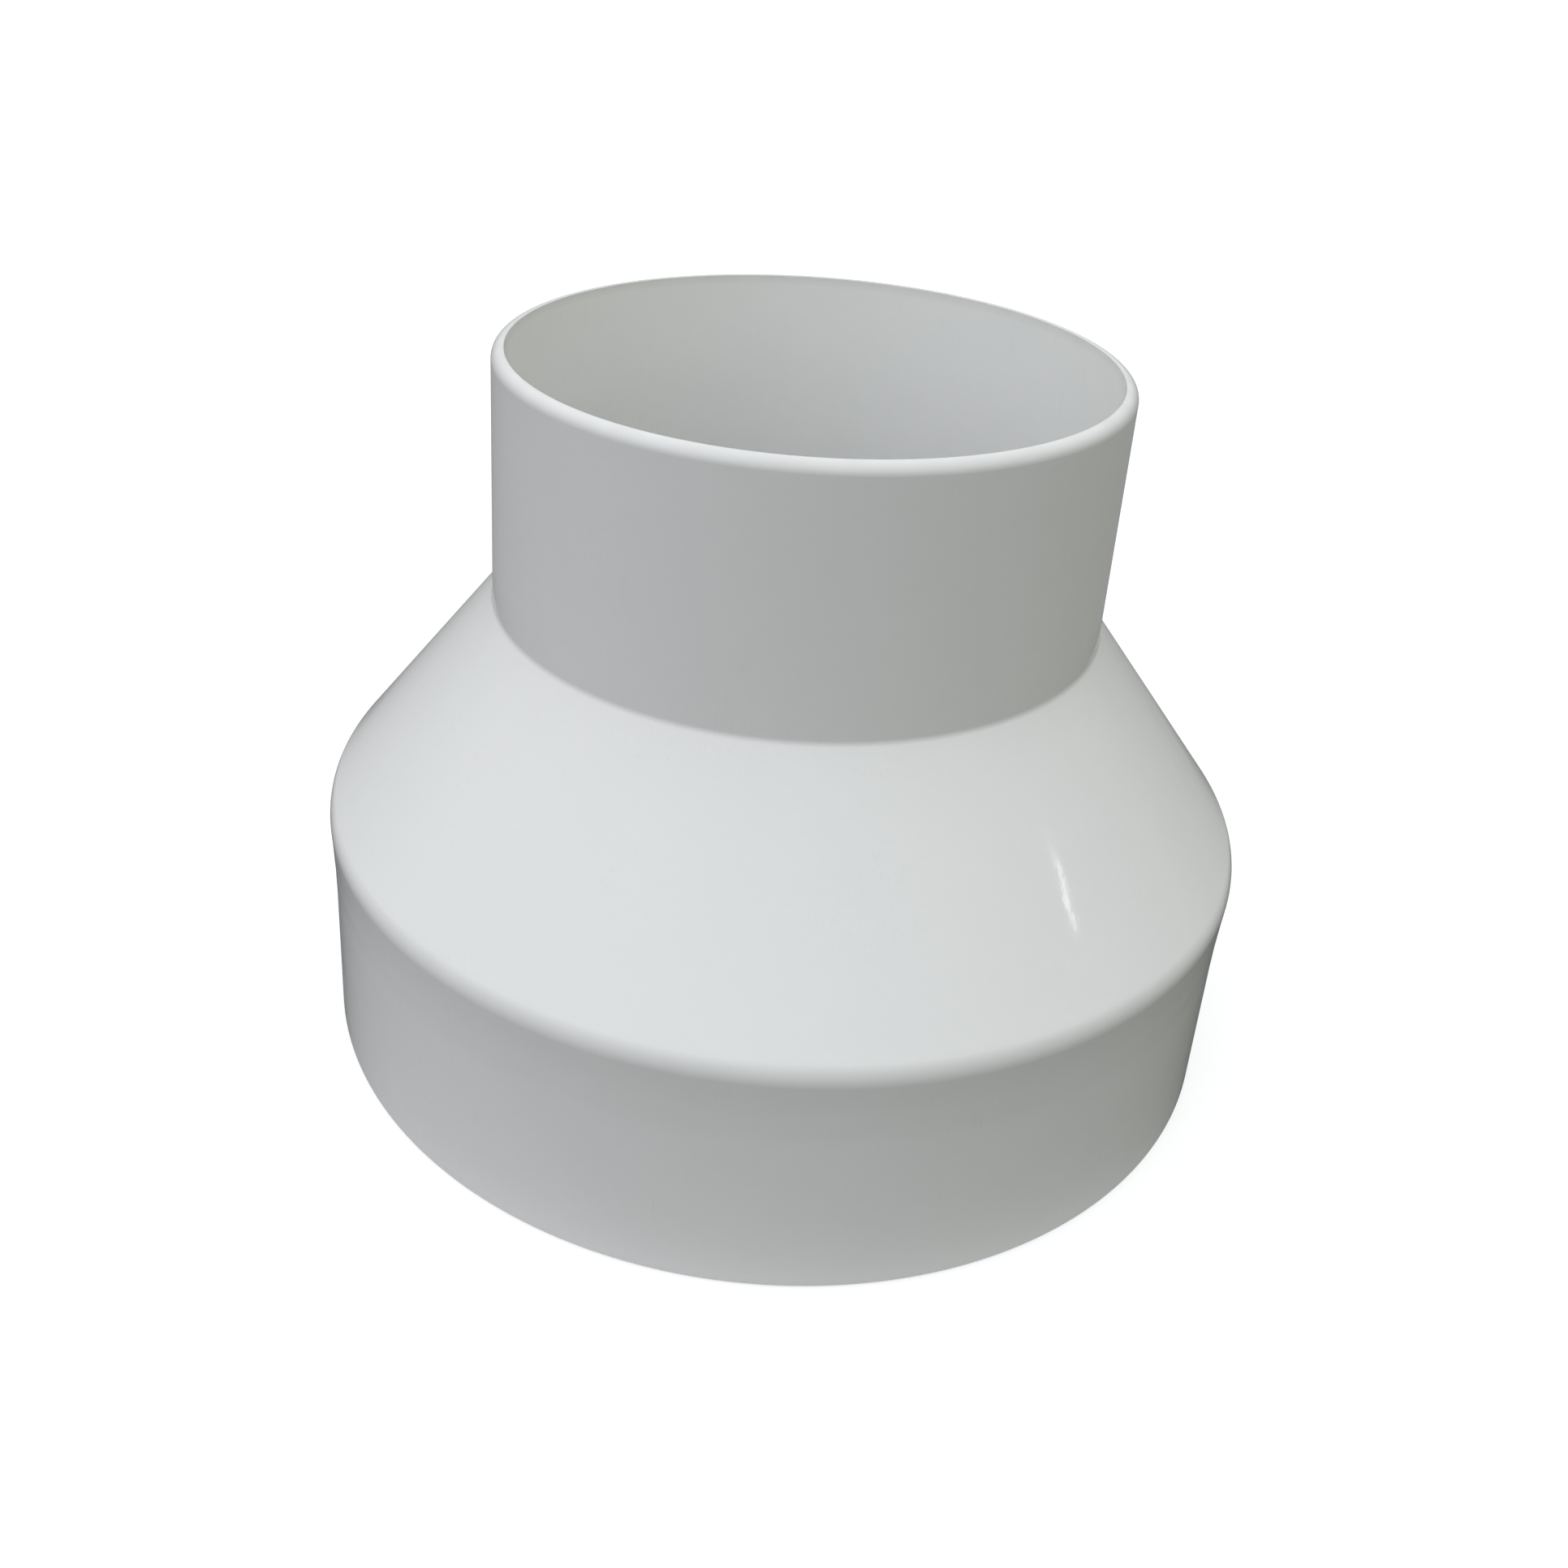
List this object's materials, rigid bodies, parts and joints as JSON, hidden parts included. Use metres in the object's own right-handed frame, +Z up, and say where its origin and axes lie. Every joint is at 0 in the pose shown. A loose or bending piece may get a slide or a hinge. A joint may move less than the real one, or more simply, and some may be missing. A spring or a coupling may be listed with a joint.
{
  "type": "duct reducer",
  "caption": "Round one-piece plastic duct reducer: a straight small end, a cone and a straight large end with a rounded shoulder, joining two round ducts of different size.",
  "frame": {"origin": "centre of the foot ring, on the plane that the large end stands on", "axes": "+Z up the fitting's axis, from the large end to the small end; the fitting is round, so X and Y are free"},
  "size_m": [0.1514, 0.1514, 0.1137],
  "materials": {
    "white_pvc": "moulded off-white PVC with a soft gloss"
  },
  "bodies": {
    "root": {"reducer_body": "white_pvc"}
  },
  "joints": []
}
